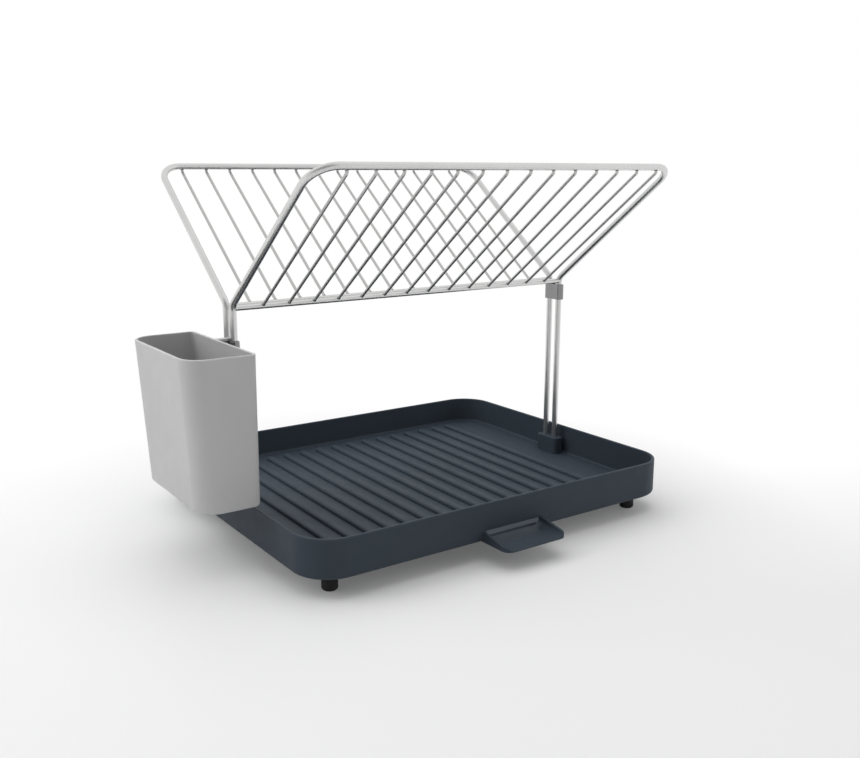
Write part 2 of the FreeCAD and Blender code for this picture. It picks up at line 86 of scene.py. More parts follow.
# Softboxes: name, setting that gives the power, place, what it points at, and side, in metres.
SOFTBOXES = (
    ("overhead", "key", (-0.15, 0.25, 1.9), (0, 0, 0.1), 2.4),
    ("left", "side", (-1.45, 0.7, 1.0), (0, 0, 0.15), 1.4),
    ("right", "fill", (1.3, -1.0, 0.6), (0, 0, 0.15), 1.0),
)


def linear(red, green, blue):
    """A colour seen as these 0 to 255 values, as the numbers that shaders take."""
    def channel(value):
        share = value / 255
        return share / 12.92 if share <= 0.04045 else ((share + 0.055) / 1.055) ** 2.4
    return (channel(red), channel(green), channel(blue))


def length_prop(name, millimetres, description):
    return FloatProperty(
        name=name, default=millimetres * MM, min=0.0, unit="LENGTH", subtype="DISTANCE",
        description=description,
    )


def colour_prop(name, default, description):
    return FloatVectorProperty(
        name=name, default=default, size=3, min=0.0, max=1.0, subtype="COLOR",
        description=description,
    )


def level_prop(name, default, description):
    return FloatProperty(name=name, default=default, min=0.0, description=description)


def count_prop(name, default, description):
    return IntProperty(name=name, default=default, min=1, description=description)


class TraySettings(bpy.types.PropertyGroup):
    """Sizes and colour of the drip tray."""
    corner: length_prop("Corner radius", 35, "Radius of the tray's corners in plan")
    wall: length_prop("Wall", 2.8, "Thickness of the tray's wall")
    underside: length_prop("Underside", 18, "Height of the tray's underside over the counter")
    floor_front: length_prop("Floor at the front", 3, "Thickness of the floor at the front wall")
    floor_back: length_prop("Floor at the back", 7, "Thickness of the floor at the back wall")
    sole_round: length_prop("Underside round", 3.5, "Radius round the edge of the underside")
    floor_round: length_prop("Floor round", 2.5, "Radius where the walls meet the floor")
    rim_round: length_prop("Rim round", 0.9, "Radius of the rim's two edges")
    rib_count: count_prop("Ribs", 16, "Number of ribs on the floor")
    rib_pitch: length_prop("Rib pitch", 20, "Distance from one rib to the next")
    rib_width: length_prop("Rib width", 8, "Width of a rib at its foot")
    rib_height: length_prop("Rib height", 3.2, "Height of a rib over the floor")
    rib_front: length_prop("Rib front", 133, "How far the ribs reach in front of the middle")
    rib_back: length_prop("Rib back", 146, "How far the ribs reach behind the middle")
    rib_corner: length_prop("Rib corner", 3.4, "Radius of a rib's corners in plan")
    rib_round: length_prop("Rib round", 2.2, "Radius along the top edges of a rib")
    notch_width: length_prop("Notch width", 64, "Width of the drain notch in the front wall")
    notch_top: length_prop("Notch top", 9.7, "Top of the drain notch over the underside")
    spout_width: length_prop("Spout width", 69, "Width of the spout across its sides")
    spout_reach: length_prop("Spout reach", 33.7, "How far the spout stands out of the front wall")
    spout_lip: length_prop("Spout lip", 3.4, "Height of the spout's sides at its tip")
    spout_corner: length_prop("Spout corner", 8, "Radius of the spout's two corners in plan")
    channel_floor: length_prop("Channel floor", 1.6, "Thickness of the plastic under the channel")
    channel_lead: length_prop("Channel lead", 3, "How far behind the front wall the channel starts")
    channel_round: length_prop("Channel round", 5, "Radius along the channel's two lower corners")
    pad_height: length_prop("Pad height", 4, "How far a foot pad stands below the underside")
    pad_radius: length_prop("Pad radius", 8, "Radius of a foot pad at its foot")
    boss_length: length_prop("Boss length", 32, "Length of a post's boss from front to back")
    boss_width: length_prop("Boss width", 13, "Width of a post's boss")
    boss_height: length_prop("Boss height", 18.5, "Height of a boss over the middle of the floor")
    boss_corner: length_prop("Boss corner", 4, "Radius of a boss's corners in plan")
    boss_round: length_prop("Boss round", 1.2, "Radius round the top of a boss")
    edge_round: length_prop("Edge round", 0.5, "Radius of the small rounds on the crisp edges")
    colour: colour_prop("Colour", (0.040, 0.052, 0.067), "Colour of the tray's plastic")


class FootSettings(bpy.types.PropertyGroup):
    """Sizes and colour of the rubber feet."""
    round: length_prop("Sole round", 2.5, "Radius of the rounding round the sole")
    hollow: length_prop("Hollow", 0.6, "Depth of the hollow in the sole")
    chamfer: length_prop("Top chamfer", 0.5, "Chamfer round the top of the disc")
    peg_radius: length_prop("Peg radius", 3, "Radius of the peg that sits in the tray")
    peg_height: length_prop("Peg height", 3, "Height of the peg over the disc")
    colour: colour_prop("Colour", linear(22, 22, 23), "Colour of the rubber")


class RackSettings(bpy.types.PropertyGroup):
    """Sizes and colours of the welded rack."""
    rod: length_prop("Rod diameter", 6.2, "Diameter of the frames' rods")
    fork_height: length_prop("Fork height", 221.1, "Height at which the two frames part")
    fork_bend: length_prop("Fork bend", 12, "Bend radius where a post turns outwards")
    corner_bend: length_prop("Corner bend", 22, "Bend radius at the ends of the top rails")
    rail_inset: length_prop("Rail inset", 1, "How far a bottom rail ends inside the rods' lines")
    wire: length_prop("Wire diameter", 2.8, "Diameter of the cross wires")
    wire_bend: length_prop("Wire bend", 3, "Bend radius at the wires' turned-in tops")
    standoff: length_prop("Wire stand-off", 4.4, "Distance from the panel's plane to the knees")
    setback: length_prop("Wire setback", 3, "How far the knees lie below the top rail")
    colour: colour_prop("Rod colour", (0.68, 0.68, 0.675), "Colour of the rods' steel")
    wire_colour: colour_prop("Wire colour", (0.54, 0.54, 0.535), "Colour of the wires' steel")


class SleeveSettings(bpy.types.PropertyGroup):
    """Sizes and colour of the steel bands on the posts."""
    wall: length_prop("Wall", 0.9, "Thickness of the band")
    corner: length_prop("Corner radius", 4.1, "Outer radius of the band's four bends")
    edge_round: length_prop("Edge round", 0.22, "Radius of the band's cut edges")
    colour: colour_prop("Colour", (0.25, 0.25, 0.255), "Colour of the polished steel")


class PotSettings(bpy.types.PropertyGroup):
    """Sizes and colour of the cutlery pot."""
    outer_corner: length_prop("Outer corner radius", 20, "Radius of the corners away from the rack")
    inner_corner: length_prop("Inner corner radius", 6, "Radius of the corners beside the rack")
    wall: length_prop("Wall", 2.3, "Thickness of the pot's wall")
    width: length_prop("Width", 60, "Width of the pot at the rim, along the tray")
    taper_out: length_prop("Outer taper", 7, "How far the outer side draws in towards the foot")
    taper_end: length_prop("End taper", 2, "How far each end draws in towards the foot")
    foot_round: length_prop("Foot round", 3, "Radius round the pot's foot")
    edge_round: length_prop("Edge round", 0.6, "Radius of the small rounds on rim and slots")
    slot_count: count_prop("Drain slots", 6, "Number of drain slots in the pot's floor")
    slot_pitch: length_prop("Slot pitch", 18, "Distance from one drain slot to the next")
    slot_length: length_prop("Slot length", 26, "Length of a drain slot")
    slot_width: length_prop("Slot width", 3.6, "Width of a drain slot")
    hook_width: length_prop("Hook width", 7.2, "Width of the hook, between the post's two rods")
    bridge: length_prop("Bridge", 2, "Thickness of the hook's bridge over the sleeve")
    tongue: length_prop("Tongue", 17, "Height of the hook's tongue inside the sleeve")
    web_width: length_prop("Web width", 2.4, "Width of the web under the bridge")
    web_height: length_prop("Web height", 24, "Height of the web under the bridge")
    colour: colour_prop("Colour", linear(184, 184, 184), "Colour of the pot's plastic")


class StudioSettings(bpy.types.PropertyGroup):
    """Light and backdrop."""
    key: level_prop("Overhead light", 25.0, "Power of the overhead softbox in watts")
    side: level_prop("Side light", 12.0, "Power of the left softbox in watts")
    fill: level_prop("Fill light", 4.0, "Power of the right softbox in watts")
    room: level_prop("Room light", 0.37, "Brightness of the room round the object")
    lift: level_prop("Counter lift", 0.1, "Share of plain white in the counter")
    floor: colour_prop("Floor colour", (0.86, 0.86, 0.86), "Colour of the counter")


def settings(name):
    return getattr(bpy.context.scene, "dish_rack_" + name)


# Mesh tools


def add_object(name, data):
    """A new object at the origin that carries this mesh, lamp or lens."""
    made = bpy.data.objects.new(name, data)
    bpy.context.scene.collection.objects.link(made)
    return made


def object_from(bm, name):
    """Turn a finished bmesh into an object at the origin, with its faces outwards and smooth."""
    bmesh.ops.remove_doubles(bm, verts=bm.verts[:], dist=TOUCH)
    bmesh.ops.recalc_face_normals(bm, faces=bm.faces[:])
    for face in bm.faces:
        face.smooth = True
    mesh = bpy.data.meshes.new(name)
    bm.to_mesh(mesh)
    bm.free()
    return add_object(name, mesh)


def sharpen(piece, degrees):
    """Keep edges steeper than the angle crisp, so that flat faces stay flat."""
    piece.data.set_sharp_from_angle(angle=math.radians(degrees))


def even_out(piece, degrees, weight=100):
    """Shade broad faces evenly right up to their small rounds.

    At weight 50 a wide round beside them stays smooth too.
    """
    sharpen(piece, degrees)
    change = piece.modifiers.new("even_out", "WEIGHTED_NORMAL")
    change.keep_sharp = True
    change.weight = weight
    apply_modifiers(piece)


def block(bm, size, middle):
    """A box of the given size, returned as its vertices."""
    made = bmesh.ops.create_cube(bm, size=1.0)["verts"]
    bmesh.ops.scale(bm, vec=size, verts=made)
    bmesh.ops.translate(bm, vec=middle, verts=made)
    return made


def of_kind(items, kind):
    return [item for item in items if isinstance(item, kind)]


def edges_of(verts):
    found = set()
    for vert in verts:
        found.update(vert.link_edges)
    return list(found)


def upright(edge):
    a, b = edge.verts
    return abs(a.co.z - b.co.z) > FACING * edge.calc_length()


def level_at(edge, height):
    return all(abs(vert.co.z - height) < LEVEL_REACH for vert in edge.verts)


def round_off(bm, edges, radius, segments):
    bmesh.ops.bevel(
        bm, geom=edges, offset=radius, offset_type="OFFSET", segments=segments, profile=0.5,
        affect="EDGES", material=-1, clamp_overlap=True,
    )


def rounded_block(bm, size, middle, corner, corner_segments, top_round, bottom_round):
    """A box with rounded upright edges and softened top and bottom edges."""
    verts = block(bm, size, middle)
    round_off(bm, [e for e in edges_of(verts) if upright(e)], corner, corner_segments)
    island = island_of(bm, middle, size)
    top, bottom = middle.z + size.z / 2, middle.z - size.z / 2
    for height, radius in ((top, top_round), (bottom, bottom_round)):
        if radius > 0:
            ring = [e for e in island if e.is_valid and level_at(e, height)]
            round_off(bm, ring, radius, 3)


def open_shell(bm, caps, wall):
    """Take these faces off a solid and turn the rest into a wall of this thickness."""
    bmesh.ops.delete(bm, geom=caps, context="FACES_ONLY")
    bmesh.ops.recalc_face_normals(bm, faces=bm.faces[:])
    bmesh.ops.solidify(bm, geom=bm.faces[:], thickness=wall)


def island_of(bm, middle, size):
    """Edges that lie inside the box of this size round the middle."""
    reach = size / 2 + Vector((1, 1, 1)) * SURFACE_REACH
    def inside(vert):
        gap = vert.co - middle
        return abs(gap.x) <= reach.x and abs(gap.y) <= reach.y and abs(gap.z) <= reach.z
    return [e for e in bm.edges if inside(e.verts[0]) and inside(e.verts[1])]


def discard(piece):
    mesh = piece.data
    bpy.data.objects.remove(piece)
    bpy.data.meshes.remove(mesh)


def carve(piece, other, operation="DIFFERENCE"):
    """Cut the other object out of the piece, or join it on, then remove it."""
    change = piece.modifiers.new("carve", "BOOLEAN")
    change.operation = operation
    change.object = other
    change.solver = "EXACT"
    apply_modifiers(piece)
    discard(other)


def apply_modifiers(piece):
    graph = bpy.context.evaluated_depsgraph_get()
    finished = bpy.data.meshes.new_from_object(piece.evaluated_get(graph))
    old = piece.data
    piece.modifiers.clear()
    piece.data = finished
    bpy.data.meshes.remove(old)
    finished.name = piece.name


def soften(piece, width, segments=2, degrees=40):
    """Small rounds on every crisp edge."""
    change = piece.modifiers.new("soften", "BEVEL")
    change.width = width
    change.segments = segments
    change.limit_method = "ANGLE"
    change.angle_limit = math.radians(degrees)
    change.miter_outer = "MITER_ARC"
    apply_modifiers(piece)


def merge(name, pieces):
    """One object from several, each a closed shell of its own."""
    bm = bmesh.new()
    for piece in pieces:
        bm.from_mesh(piece.data)
        discard(piece)
    mesh = bpy.data.meshes.new(name)
    bm.to_mesh(mesh)
    bm.free()
    return add_object(name, mesh)


def finish_piece(piece, body, slot, material, *nodes):
    piece.data.materials.clear()
    piece.data.materials.append(material)
    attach(piece, body)
    if nodes:
        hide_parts(*nodes)


def bent_rod(bm, corners, radii, diameter, sides, steps):
    """Sweep a round section through the corners, with a tangent bend at each inner one."""
    heading = (corners[1] - corners[0]).normalized()
    turned = Z_AXIS.rotation_difference(heading).to_matrix().to_4x4()
    where = Matrix.Translation(corners[0]) @ turned
    made = bmesh.ops.create_circle(
        bm, cap_ends=False, segments=sides, radius=diameter / 2, matrix=where,
    )
    ring = edges_of(made["verts"])
    first_ring = ring
    position = corners[0]
    for before, corner, after, radius in zip(corners, corners[1:], corners[2:], radii):
        into = (corner - before).normalized()
        out = (after - corner).normalized()
        turn = into.angle(out)
        setback = radius * math.tan(turn / 2)
        first = corner - into * setback
        ring = push_ring(bm, ring, first - position)
        centre = first + (out - into * into.dot(out)).normalized() * radius
        made = bmesh.ops.spin(
            bm, geom=ring + verts_of(ring), cent=centre, axis=into.cross(out).normalized(),
            angle=turn, steps=steps, use_duplicate=False,
        )
        ring = of_kind(made["geom_last"], bmesh.types.BMEdge)
        position = corner + out * setback
    last_ring = push_ring(bm, ring, corners[-1] - position)
    for end in (first_ring, last_ring):
        bmesh.ops.contextual_create(bm, geom=[e for e in end if e.is_valid])


def rod_piece(name, corners, radii, diameter, sides=28, steps=12):
    """One rod or wire as an object of its own."""
    bm = bmesh.new()
    bent_rod(bm, corners, radii, diameter, sides, steps)
    piece = object_from(bm, name)
    sharpen(piece, 45)
    return piece


def verts_of(edges):
    found = set()
    for edge in edges:
        found.update(edge.verts)
    return list(found)


def push_ring(bm, ring, move):
    """Extrude a ring of edges by a move and return the new ring."""
    made = bmesh.ops.extrude_edge_only(bm, edges=ring)["geom"]
    moved = of_kind(made, bmesh.types.BMVert)
    bmesh.ops.translate(bm, vec=move, verts=moved)
    return [e for e in of_kind(made, bmesh.types.BMEdge) if set(e.verts) <= set(moved)]


def lathe(name, profile, middle, steps=56):
    """Turn a profile of (radius, height) points about an upright axis through the middle."""
    bm = bmesh.new()
    verts = [bm.verts.new(middle + Vector((radius, 0, height))) for radius, height in profile]
    edges = [bm.edges.new(pair) for pair in zip(verts, verts[1:])]
    bmesh.ops.spin(
        bm, geom=verts + edges, cent=middle, axis=Z_AXIS, angle=math.tau, steps=steps,
        use_merge=True,
    )
    return object_from(bm, name)


# Materials


def add_node(tree, kind, **inputs):
    """A new node, with the inputs that are named here set to these values."""
    made = tree.nodes.new(kind)
    for key, value in inputs.items():
        made.inputs[key.replace("_", " ")].default_value = value
    return made


def mix_shaders(tree, share, first, second):
    """The first shader where the share is 0, and the second where it is 1."""
    mix = tree.nodes.new("ShaderNodeMixShader")
    for source, socket in ((share, 0), (first, 1), (second, 2)):
        tree.links.new(source, mix.inputs[socket])
    return mix.outputs["Shader"]


class Shader:
    """A material whose colour, roughness and bump come from procedural patterns."""

    def __init__(self, name, colour, metallic, roughness):
        self.material = bpy.data.materials.new(name)
        self.material.use_nodes = True
        self.tree = self.material.node_tree
        self.surface = self.tree.nodes["Principled BSDF"]
        self.surface.inputs["Base Color"].default_value = (*colour, 1.0)
        self.surface.inputs["Metallic"].default_value = metallic
        self.surface.inputs["Roughness"].default_value = roughness
        self.colour = colour
        self.place = self.node("ShaderNodeTexCoord").outputs["Object"]

    def node(self, kind, **inputs):
        return add_node(self.tree, kind, **inputs)

    def link(self, source, target):
        self.tree.links.new(source, target)

    def noise(self, scale, detail=3.0, stretch=(1, 1, 1)):
        mapping = self.node("ShaderNodeMapping", Scale=stretch)
        self.link(self.place, mapping.inputs["Vector"])
        texture = self.node("ShaderNodeTexNoise", Scale=scale, Detail=detail)
        self.link(mapping.outputs["Vector"], texture.inputs["Vector"])
        return texture.outputs["Fac"]

    def mottle(self, scale, detail=2.0):
        """Noise that fills the whole range from 0 to 1."""
        return self.spread(self.noise(scale, detail), 0.0, 1.0)

    def spread(self, source, low, high, start=NOISE_LOW, end=NOISE_HIGH):
        """Map a texture's range onto low to high."""
        span = self.node(
            "ShaderNodeMapRange", From_Min=start, From_Max=end, To_Min=low, To_Max=high,
        )
        self.link(source, span.inputs["Value"])
        return span.outputs["Result"]

    def measure(self, operation, other=None):
        """One value from the place on the object."""
        made = self.node("ShaderNodeVectorMath")
        made.operation = operation
        self.link(self.place, made.inputs[0])
        if other is not None:
            made.inputs[1].default_value = other
        return made.outputs["Value"]

    def blend(self, operation, first, second):
        """One value from two others."""
        made = self.node("ShaderNodeMath")
        made.operation = operation
        self.link(first, made.inputs[0])
        self.link(second, made.inputs[1])
        return made.outputs["Value"]

    def shade(self, gain, lift=0.0):
        return (*[min(gain * channel + lift, 1.0) for channel in self.colour], 1.0)

    def tint(self, source, dark, light):
        """Vary the base colour between two shares of itself."""
        mix = self.node("ShaderNodeMix")
        mix.data_type = "RGBA"
        mix.inputs["A"].default_value = self.shade(dark)
        mix.inputs["B"].default_value = self.shade(light)
        self.link(source, mix.inputs["Factor"])
        return mix.outputs["Result"]

    def lighten(self, source, base, gain, lift):
        """Blend a lighter colour over the base where the source is high."""
        mix = self.node("ShaderNodeMix")
        mix.data_type = "RGBA"
        self.link(base, mix.inputs["A"])
        mix.inputs["B"].default_value = self.shade(gain, lift)
        self.link(source, mix.inputs["Factor"])
        return mix.outputs["Result"]

    def bump(self, source, strength, distance):
        made = self.node("ShaderNodeBump", Strength=strength, Distance=distance)
        self.link(source, made.inputs["Height"])
        return made.outputs["Normal"]

    def edge_patches(self, height, reach):
        """1 in patches along the edge at this height, fading to 0 this far below it.

        A negative reach fades above the edge instead.
        """
        axes = self.node("ShaderNodeSeparateXYZ")
        self.link(self.place, axes.inputs["Vector"])
        edge = self.spread(axes.outputs["Z"], 0.0, 1.0, height - reach, height)
        patches = self.spread(self.noise(scale=140.0, detail=3.0), 0.15, 1.0)
        return self.blend("MULTIPLY", edge, patches)

    def wear(self, colour=None, roughness=None, normal=None):
        """Lead the patterns into the surface and return the finished material."""
        for name, source in (("Base Color", colour), ("Roughness", roughness), ("Normal", normal)):
            if source is not None:
                self.link(source, self.surface.inputs[name])
        return self.material


def moulded_plastic(name, colour, rim, shine, grain, gloss):
    """Matt moulded plastic: fine grain, slight flow marks, and a rim lightened in patches: rubbing
    wear and a painted highlight along the rim.
    """
    look = Shader(name, colour, metallic=0.0, roughness=shine)
    look.surface.inputs["Specular IOR Level"].default_value = gloss
    base = look.tint(look.mottle(scale=7.0), dark=0.95, light=1.04)
    # Lighter in patches along the rim: rubbing wear and a painted rim highlight.
    edge_lightened = look.lighten(look.edge_patches(rim, reach=1.6 * MM), base, gain=1.2, lift=0.012)
    rough = look.spread(look.noise(scale=60.0, detail=4.0), shine - 0.05, shine + 0.07)
    normal = look.bump(look.mottle(scale=1400.0), strength=grain, distance=0.08 * MM)
    return look.wear(edge_lightened, rough, normal)


def drawn_steel(name, colour, shine):
    """Drawn stainless rod: faint handling haze and slightly uneven sheen."""
    look = Shader(name, colour, metallic=1.0, roughness=shine)
    base = look.tint(look.mottle(scale=22.0), dark=0.96, light=1.03)
    rough = look.spread(look.noise(scale=45.0, detail=2.0), shine - 0.03, shine + 0.04)
    normal = look.bump(look.noise(scale=160.0, detail=2.0), strength=0.04, distance=0.06 * MM)
    return look.wear(base, rough, normal)


def polished_steel(name, colour, top):
    """Polished band with faint upright buffing lines, and a top edge lightened in patches: wear and
    a painted highlight.
    """
    look = Shader(name, colour, metallic=1.0, roughness=0.14)
    lines = look.noise(scale=1500.0, detail=2.0, stretch=(1.0, 1.0, 0.03))
    base = look.tint(look.mottle(scale=90.0), dark=0.96, light=1.03)
    # Painted highlight along the top edge, in patches, together with wear.
    edge_lightened = look.lighten(look.edge_patches(top, reach=0.8 * MM), base, gain=1.3, lift=0.08)
    normal = look.bump(lines, strength=0.08, distance=0.04 * MM)
    return look.wear(edge_lightened, look.spread(lines, 0.10, 0.20), normal)


def weld_metal(name):
    """Spot weld: a slightly rougher, darker bead."""
    look = Shader(name, (0.20, 0.19, 0.18), metallic=1.0, roughness=0.38)
    mottled = look.mottle(scale=600.0, detail=3.0)
    base = look.tint(mottled, dark=0.82, light=1.05)
    normal = look.bump(mottled, strength=0.3, distance=0.1 * MM)
    return look.wear(base, look.spread(mottled, 0.3, 0.46), normal)


def foot_rubber(name, colour):
    """Matt rubber with a dusty sole edge."""
    look = Shader(name, colour, metallic=0.0, roughness=0.78)
    dust = look.mottle(scale=260.0, detail=4.0)
    base = look.tint(dust, dark=0.85, light=1.35)
    edge_lightened = look.lighten(look.edge_patches(0.0, reach=-2.5 * MM), base, gain=1.3, lift=0.02)
    normal = look.bump(look.noise(scale=1800.0, detail=2.0), strength=0.25, distance=0.1 * MM)
    return look.wear(edge_lightened, look.spread(dust, 0.7, 0.88), normal)


# Operators


class RACK_OT_tray(bpy.types.Operator):
    """Model the drip tray with its ribs, bosses, foot pads and spout"""
    bl_idname = "dish_rack.tray"
    bl_label = "Drip Tray"

    def execute(self, context):
        tray = settings("tray")
        length = TRAY_HIGH.x - TRAY_LOW.x
        depth = 2 * (TRAY_HIGH.y - MIDDLE_Y)
        self.rim = TRAY_HIGH.z
        self.front = MIDDLE_Y - depth / 2
        self.slope = math.atan2(tray.floor_back - tray.floor_front, depth)
        self.mid_floor = tray.underside + (tray.floor_front + tray.floor_back) / 2
        shell = self.pan(tray, length, depth)
        carve(shell, self.spout(tray), "UNION")
        carve(shell, self.channel(tray))
        soften(shell, tray.edge_round, 3, 50)
        parts = [shell, self.ribs(tray), self.pads(tray)]
        parts += [self.boss(tray, side) for side in (-1, 1)]
        piece = merge("drip_tray", parts)
        even_out(piece, 50)
        plastic = moulded_plastic(
            "tray_plastic", tray.colour, self.rim, shine=0.55, grain=0.2, gloss=0.14,
        )
        finish_piece(piece, "tray", "tray", plastic, "tray")
        return {"FINISHED"}

    def floor_at(self, y):
        """Height of the falling floor at a place along the depth."""
        return self.mid_floor + (y - MIDDLE_Y) * math.tan(self.slope)

    def on_floor(self, vert):
        return abs(vert.co.z - self.floor_at(vert.co.y)) < SURFACE_REACH

    def pan(self, tray, length, depth):
        """Floor and walls, with round corners, foot and rim."""
        bm = bmesh.new()
        size = Vector((length, depth, self.rim - tray.underside))
        middle = Vector((MIDDLE_X, MIDDLE_Y, (self.rim + tray.underside) / 2))
        verts = block(bm, size, middle)
        round_off(bm, [e for e in edges_of(verts) if upright(e)], tray.corner, 14)
        top = next(f for f in bm.faces if f.normal.z > FACING)
        bmesh.ops.inset_region(bm, faces=[top], thickness=tray.wall, use_even_offset=True)
        made = bmesh.ops.extrude_face_region(bm, geom=[top])["geom"]
        bmesh.ops.delete(bm, geom=[top], context="FACES_ONLY")
        for vert in of_kind(made, bmesh.types.BMVert):
            vert.co.z = self.floor_at(vert.co.y)
        round_off(bm, [e for e in bm.edges if level_at(e, tray.underside)], tray.sole_round, 4)
        bed = [e for e in bm.edges if all(self.on_floor(vert) for vert in e.verts)]
        round_off(bm, bed, tray.floor_round, 4)
        round_off(bm, [e for e in bm.edges if level_at(e, self.rim)], tray.rim_round, 3)
        return object_from(bm, "pan")

    def ribs(self, tray):
        """Parallel ribs that stand on the falling floor, with their feet sunk in it."""
        bm = bmesh.new()
        front = MIDDLE_Y - tray.rib_front
        back = MIDDLE_Y + tray.rib_back
        sunk = 1 * MM
        for index in range(tray.rib_count):
            x = MIDDLE_X + (index - (tray.rib_count - 1) / 2) * tray.rib_pitch
            size = Vector((tray.rib_width, back - front, tray.rib_height + sunk))
            middle = Vector((x, (front + back) / 2, (tray.rib_height - sunk) / 2))
            rounded_block(bm, size, middle, tray.rib_corner, 5, tray.rib_round, 0)
        for vert in bm.verts:
            vert.co.z += self.floor_at(vert.co.y)
        return object_from(bm, "ribs")

    def spout(self, tray):
        """Tongue in front of the wall, whose top falls to a thin lip."""
        bm = bmesh.new()
        entry = 0.9 * tray.wall
        tip = self.front - tray.spout_reach
        root = self.front + entry
        size = Vector((tray.spout_width, root - tip, tray.notch_top))
        middle = Vector((MIDDLE_X, (root + tip) / 2, tray.underside + tray.notch_top / 2))
        verts = block(bm, size, middle)
        for vert in verts:
            if vert.co.y < self.front and vert.co.z > middle.z:
                vert.co.z -= tray.notch_top - tray.spout_lip
        corners = [e for e in edges_of(verts) if upright(e) and e.verts[0].co.y < self.front]
        round_off(bm, corners, tray.spout_corner, 8)
        return object_from(bm, "spout")

    def channel(self, tray):
        """Cutter for the dished channel, from the floor through the notch and off the spout."""
        bm = bmesh.new()
        overrun = 8 * MM
        roof_round = 1.5 * MM
        ramp_run, ramp_rise = 2.5 * MM, 3 * MM
        start = self.front + tray.wall + tray.channel_lead
        end = self.front - tray.spout_reach - overrun
        bed = tray.underside + tray.channel_floor
        roof = tray.underside + tray.notch_top
        size = Vector((tray.notch_width, start - end, roof - bed))
        verts = block(bm, size, Vector((MIDDLE_X, (start + end) / 2, bed + size.z / 2)))
        def along(edge):
            return abs(edge.verts[0].co.y - edge.verts[1].co.y) > size.y / 2
        low = [e for e in edges_of(verts) if along(e) and e.verts[0].co.z < bed + size.z / 2]
        round_off(bm, low, tray.channel_round, 8)
        high = [e for e in bm.edges if along(e) and level_at(e, roof)]
        round_off(bm, high, roof_round, 3)
        for vert in bm.verts:
            vert.co.z += (vert.co.y - start) * math.tan(self.slope)
            if vert.co.y > self.front and vert.co.z < bed + ramp_rise:
                vert.co.y -= ramp_run * (1 - (vert.co.z - bed) / ramp_rise)
        return object_from(bm, "channel")

    def pads(self, tray):
        """Round pads below the underside, each over one foot."""
        bm = bmesh.new()
        sunk = 0.3 * MM
        flare = 0.4 * MM
        height = tray.pad_height + sunk
        for node in FEET:
            low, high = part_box(node)
            middle = (low + high) / 2
            middle.z = tray.underside - tray.pad_height + height / 2
            bmesh.ops.create_cone(
                bm, cap_ends=True, segments=48, radius1=tray.pad_radius,
                radius2=tray.pad_radius + flare, depth=height,
                matrix=Matrix.Translation(middle),
            )
        return object_from(bm, "pads")

    def boss(self, tray, side):
        """Raised block on the floor with a bore for each rod of a post."""
        bm = bmesh.new()
        sunk = 2 * MM
        rod = settings("rack").rod
        x = FRONT_LOW.x + rod / 2 if side < 0 else FRONT_HIGH.x - rod / 2
        top = self.mid_floor + tray.boss_height
        size = Vector((tray.boss_width, tray.boss_length, tray.boss_height + sunk))
        middle = Vector((x, MIDDLE_Y, top - size.z / 2))
        rounded_block(bm, size, middle, tray.boss_corner, 6, tray.boss_round, 0)
        body = object_from(bm, "boss")
        bores = bmesh.new()
        radius = rod / 2 + RUNNING_GAP
        for y in (MIDDLE_Y - POST_Y, MIDDLE_Y + POST_Y):
            bmesh.ops.create_cone(
                bores, cap_ends=True, segments=32, radius1=radius, radius2=radius,
                depth=2 * size.z, matrix=Matrix.Translation((x, y, top)),
            )
        carve(body, object_from(bores, "bores"))
        return body


class RACK_OT_feet(bpy.types.Operator):
    """Turn the four rubber feet"""
    bl_idname = "dish_rack.feet"
    bl_label = "Rubber Feet"

    def execute(self, context):
        feet = settings("feet")
        rubber = foot_rubber("foot_rubber", feet.colour)
        radius = (FOOT_HIGH.x - FOOT_LOW.x) / 2
        top = FOOT_HIGH.z - FOOT_LOW.z - feet.peg_height
        bed, brim = 0.45 * radius, 0.5 * radius
        profile = [(0.0, feet.hollow), (bed, feet.hollow), (brim, 0.0)]
        for degrees in range(0, 91, 15):
            angle = math.radians(degrees)
            out = radius - feet.round * (1 - math.sin(angle))
            profile.append((out, feet.round * (1 - math.cos(angle))))
        profile += [
            (radius, top - feet.chamfer),
            (radius - feet.chamfer, top),
            (feet.peg_radius, top),
            (feet.peg_radius, top + feet.peg_height),
            (0.0, top + feet.peg_height),
        ]
        for node in FEET:
            low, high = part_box(node)
            middle = (low + high) / 2
            middle.z = low.z
            piece = lathe("rubber_" + node, profile, middle)
            sharpen(piece, 40)
            finish_piece(piece, "tray", "rubber", rubber, node)
        return {"FINISHED"}


def panel(side):
    """Key places of one panel: side is -1 for the front and 1 for the back."""
    rack = settings("rack")
    radius = rack.rod / 2
    rail_y = FRONT_LOW.y + radius if side < 0 else BACK_HIGH.y - radius
    low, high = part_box("front_bottom_rail" if side < 0 else "back_bottom_rail")
    return {
        "left": FRONT_LOW.x + radius,
        "right": FRONT_HIGH.x - radius,
        "post": MIDDLE_Y + side * POST_Y,
        "rail": Vector((MIDDLE_X, rail_y, FRONT_HIGH.z - radius)),
        "foot": FRONT_LOW.z,
        "bottom": Vector((MIDDLE_X, (low.y + high.y) / 2, (low.z + high.z) / 2)),
        "bottom_rod": high.z - low.z,
    }


